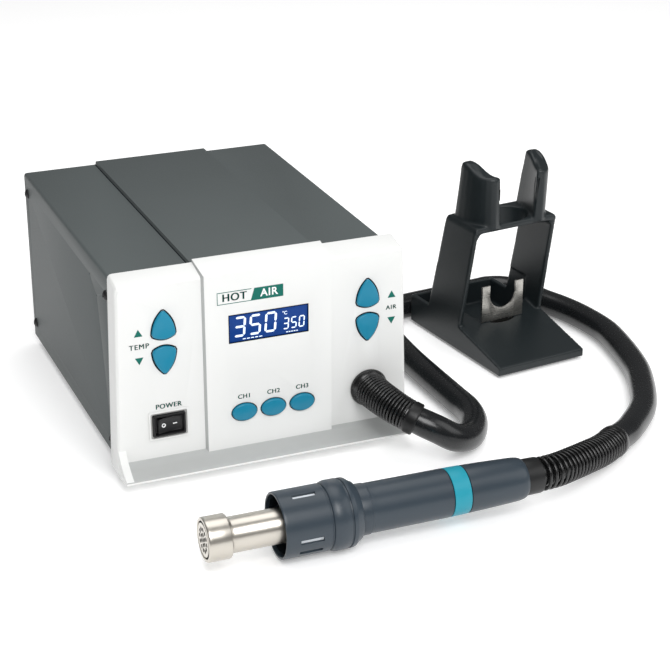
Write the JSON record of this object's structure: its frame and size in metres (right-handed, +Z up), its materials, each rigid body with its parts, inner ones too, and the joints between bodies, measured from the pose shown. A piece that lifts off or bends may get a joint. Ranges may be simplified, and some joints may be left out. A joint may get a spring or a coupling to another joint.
{
  "type": "hot air station",
  "caption": "Bench hot air rework unit with display, keys and rocker switch, an air hose to a gun-style handset lying in front, and a separate handset stand.",
  "frame": {"origin": "on the table, under the middle of the whole set's bounding box without its hose", "axes": "+X right along the front panel, +Y back from the front panel, +Z up"},
  "size_m": [0.3868, 0.3718, 0.1364],
  "materials": {
    "panel_white": "fine grained moulding",
    "cover_paint": "powder coat",
    "zinc_steel": "zinc plated sheet",
    "bright_steel": "satin stainless",
    "black_plastic": "matt",
    "black_metal": "black oxide",
    "black_rubber": "smooth",
    "key_teal": "satin",
    "band_teal": "satin",
    "lcd_lens": "gloss",
    "board_green": "lacquered",
    "handset_slate": "fine texture",
    "stand_slate": "satin",
    "ceramic": "matt ceramic"
  },
  "bodies": {
    "bench_unit": {"front_panel": "panel_white", "cover": "cover_paint", "cover_screw_left_1": "black_metal", "cover_screw_left_2": "black_metal", "cover_screw_left_3": "black_metal", "cover_screw_left_4": "black_metal", "cover_screw_right_1": "black_metal", "cover_screw_right_2": "black_metal", "cover_screw_right_3": "black_metal", "cover_screw_right_4": "black_metal", "chassis_tray": "zinc_steel", "rear_panel": "cover_paint", "mains_inlet": "black_plastic", "fuse_holder": "black_plastic", "earth_terminal": "bright_steel", "foot_front_left": "black_rubber", "foot_front_right": "black_rubber", "foot_back_left": "black_rubber", "foot_back_right": "black_rubber", "lcd_window": "lcd_lens", "lcd_module": "lcd_lens", "key_board": "board_green", "switch_housing": "black_plastic", "main_board": "board_green", "heat_sink": "zinc_steel", "transformer": "zinc_steel", "blower_housing": "black_plastic", "blower_motor": "zinc_steel", "air_duct": "black_plastic", "hose_boot": "black_rubber", "hose_boot_band": "black_plastic", "air_hose": "black_rubber"},
    "handset": {"outlet_collar": "bright_steel", "outlet_grille": "bright_steel", "heater_tube": "bright_steel", "heater_core": "ceramic", "shroud": "handset_slate", "clamp_ring": "handset_slate", "grip_shell": "handset_slate", "grip_band": "band_teal", "rear_cuff": "black_plastic", "sensor_board": "board_green", "strain_relief": "black_rubber"},
    "handset_stand": {"stand_body": "stand_slate", "rest_bracket": "bright_steel", "bracket_screw": "bright_steel", "stand_foot_front_left": "black_rubber", "stand_foot_front_right": "black_rubber", "stand_foot_back_left": "black_rubber", "stand_foot_back_right": "black_rubber"},
    "rocker": {"power_rocker": "black_plastic"},
    "impeller": {"blower_impeller": "panel_white"},
    "temp_up_key_body": {"temp_up_key": "key_teal"},
    "temp_down_key_body": {"temp_down_key": "key_teal"},
    "air_up_key_body": {"air_up_key": "key_teal"},
    "air_down_key_body": {"air_down_key": "key_teal"},
    "channel_key_1_body": {"channel_key_1": "key_teal"},
    "channel_key_2_body": {"channel_key_2": "key_teal"},
    "channel_key_3_body": {"channel_key_3": "key_teal"}
  },
  "joints": [
    {"name": "temp_up_key_press", "type": "slide", "parent": "bench_unit", "child": "temp_up_key_body", "axis": [0, 1, 0], "range_m": [0, 0.0012], "stiffness_N_per_m": 300},
    {"name": "temp_down_key_press", "type": "slide", "parent": "bench_unit", "child": "temp_down_key_body", "axis": [0, 1, 0], "range_m": [0, 0.0012], "stiffness_N_per_m": 300},
    {"name": "air_up_key_press", "type": "slide", "parent": "bench_unit", "child": "air_up_key_body", "axis": [0, 1, 0], "range_m": [0, 0.0012], "stiffness_N_per_m": 300},
    {"name": "air_down_key_press", "type": "slide", "parent": "bench_unit", "child": "air_down_key_body", "axis": [0, 1, 0], "range_m": [0, 0.0012], "stiffness_N_per_m": 300},
    {"name": "channel_key_1_press", "type": "slide", "parent": "bench_unit", "child": "channel_key_1_body", "axis": [0, 1, 0], "range_m": [0, 0.0012], "stiffness_N_per_m": 300},
    {"name": "channel_key_2_press", "type": "slide", "parent": "bench_unit", "child": "channel_key_2_body", "axis": [0, 1, 0], "range_m": [0, 0.0012], "stiffness_N_per_m": 300},
    {"name": "channel_key_3_press", "type": "slide", "parent": "bench_unit", "child": "channel_key_3_body", "axis": [0, 1, 0], "range_m": [0, 0.0012], "stiffness_N_per_m": 300},
    {"name": "power_rocker_tilt", "type": "hinge", "parent": "bench_unit", "child": "rocker", "pos_m": [-0.1427, -0.053, 0.0368], "axis": [0, 0, 1], "range_deg": [-14, 0]},
    {"name": "blower_spin", "type": "hinge", "parent": "bench_unit", "child": "impeller", "pos_m": [-0.0381, 0.097, 0.03], "axis": [0, 0, 1], "continuous": true},
    {"name": "handset_lift", "type": "slide", "parent": "bench_unit", "child": "handset", "axis": [0, 0, 1], "range_m": [0, 0.06]},
    {"name": "stand_lift", "type": "slide", "parent": "bench_unit", "child": "handset_stand", "axis": [0, 0, 1], "range_m": [0, 0.04]}
  ]
}
